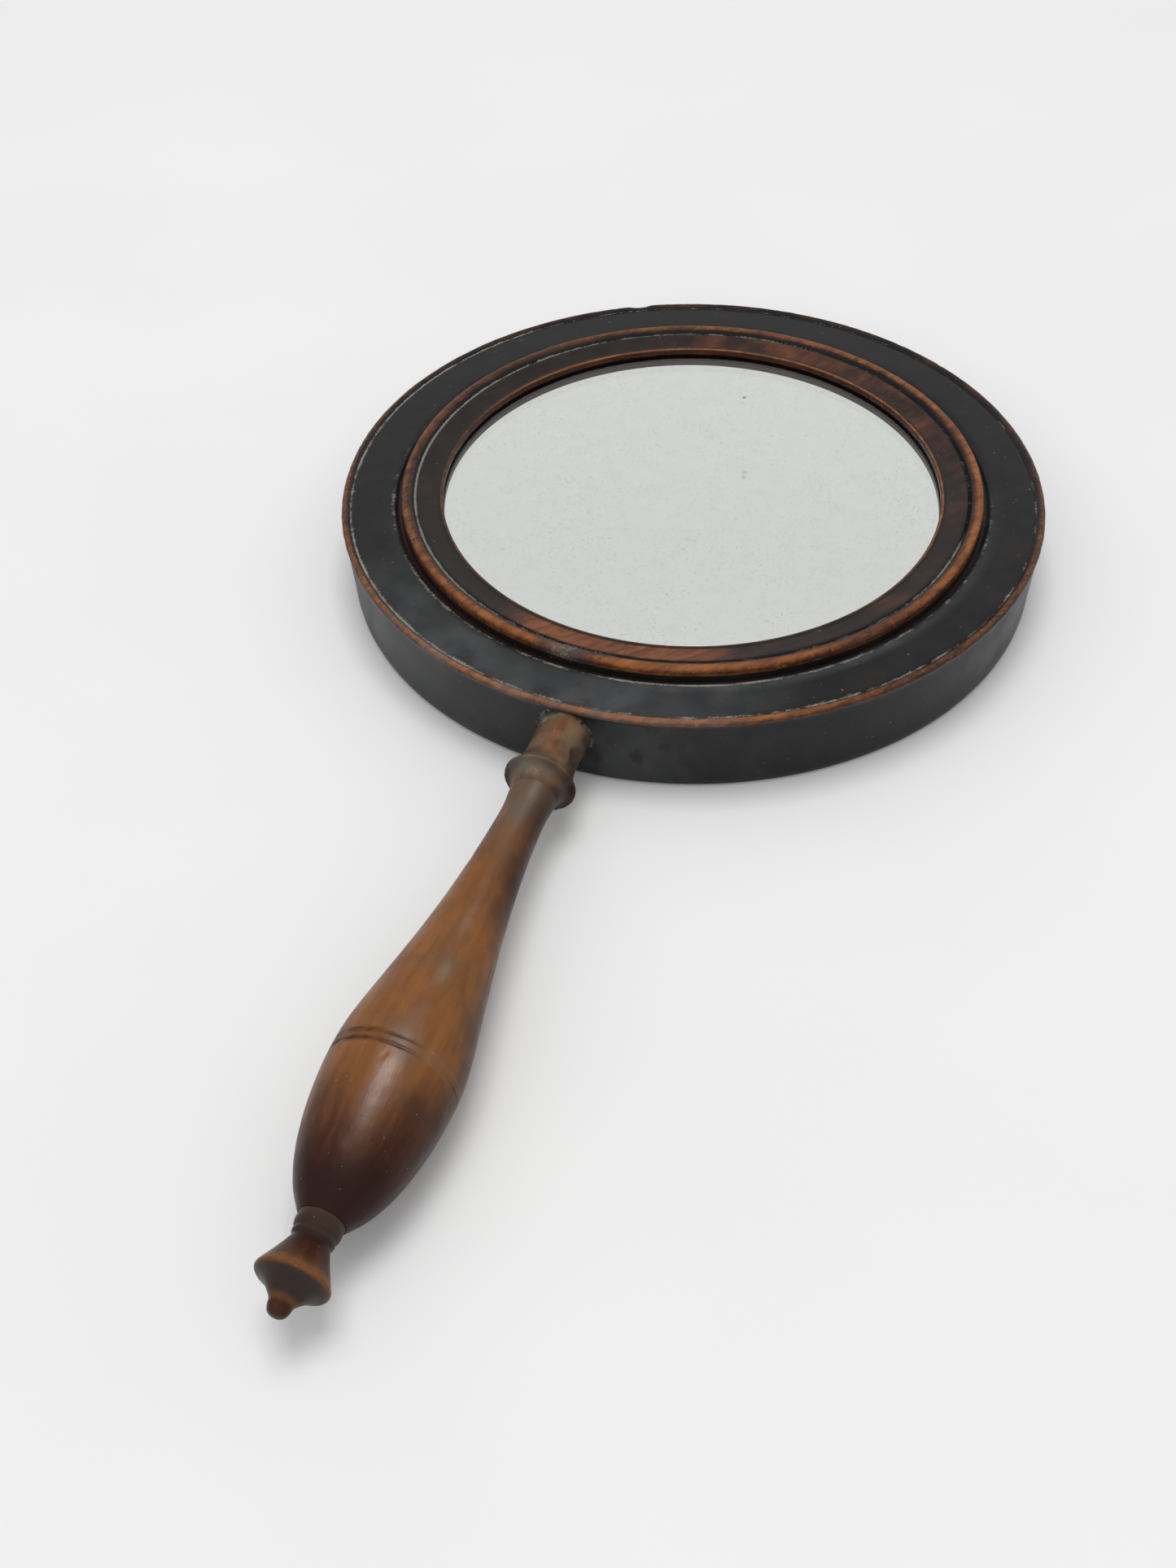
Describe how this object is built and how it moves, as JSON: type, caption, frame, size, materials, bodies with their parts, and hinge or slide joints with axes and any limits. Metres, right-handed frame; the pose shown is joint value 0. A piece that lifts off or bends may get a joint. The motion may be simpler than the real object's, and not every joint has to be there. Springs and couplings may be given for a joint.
{
  "type": "hand mirror",
  "caption": "Round hand mirror in turned wood: a thick disc with a stepped ring round the glass, on a slim baluster handle with a flared finial.",
  "frame": {"origin": "centre of the head's flat back face, which rests on the table", "axes": "+Z out of the mirror, -Y from the head along the handle to its tip, +X to the right of someone looking into the mirror with the handle down"},
  "size_m": [0.16, 0.2943, 0.0239],
  "materials": {
    "ebonised_wood": "ebonised, aged, satin, worn to brown on the edges",
    "ring_wood": "ebonised, rubbed through to red-brown on the bead",
    "handle_wood": "stained, hand-polished, satin",
    "inner_wood": "raw turned beech",
    "glass": "polished",
    "silver": "silvered, lightly foxed",
    "backing_paint": "flat red-brown paint",
    "card": "grey-brown strawboard",
    "felt": "wool felt",
    "filler": "hardened glue and filler, dusty"
  },
  "bodies": {
    "root": {"head_frame": "ebonised_wood", "bezel_ring": "ring_wood", "mirror_glass": "glass", "silvering": "silver", "backing_paint": "backing_paint", "card_backing": "card", "felt_pad": "felt", "neck_collar": "handle_wood", "joint_filler": "filler", "neck_dowel": "inner_wood", "handle_grip": "handle_wood", "finial": "handle_wood"}
  },
  "joints": []
}
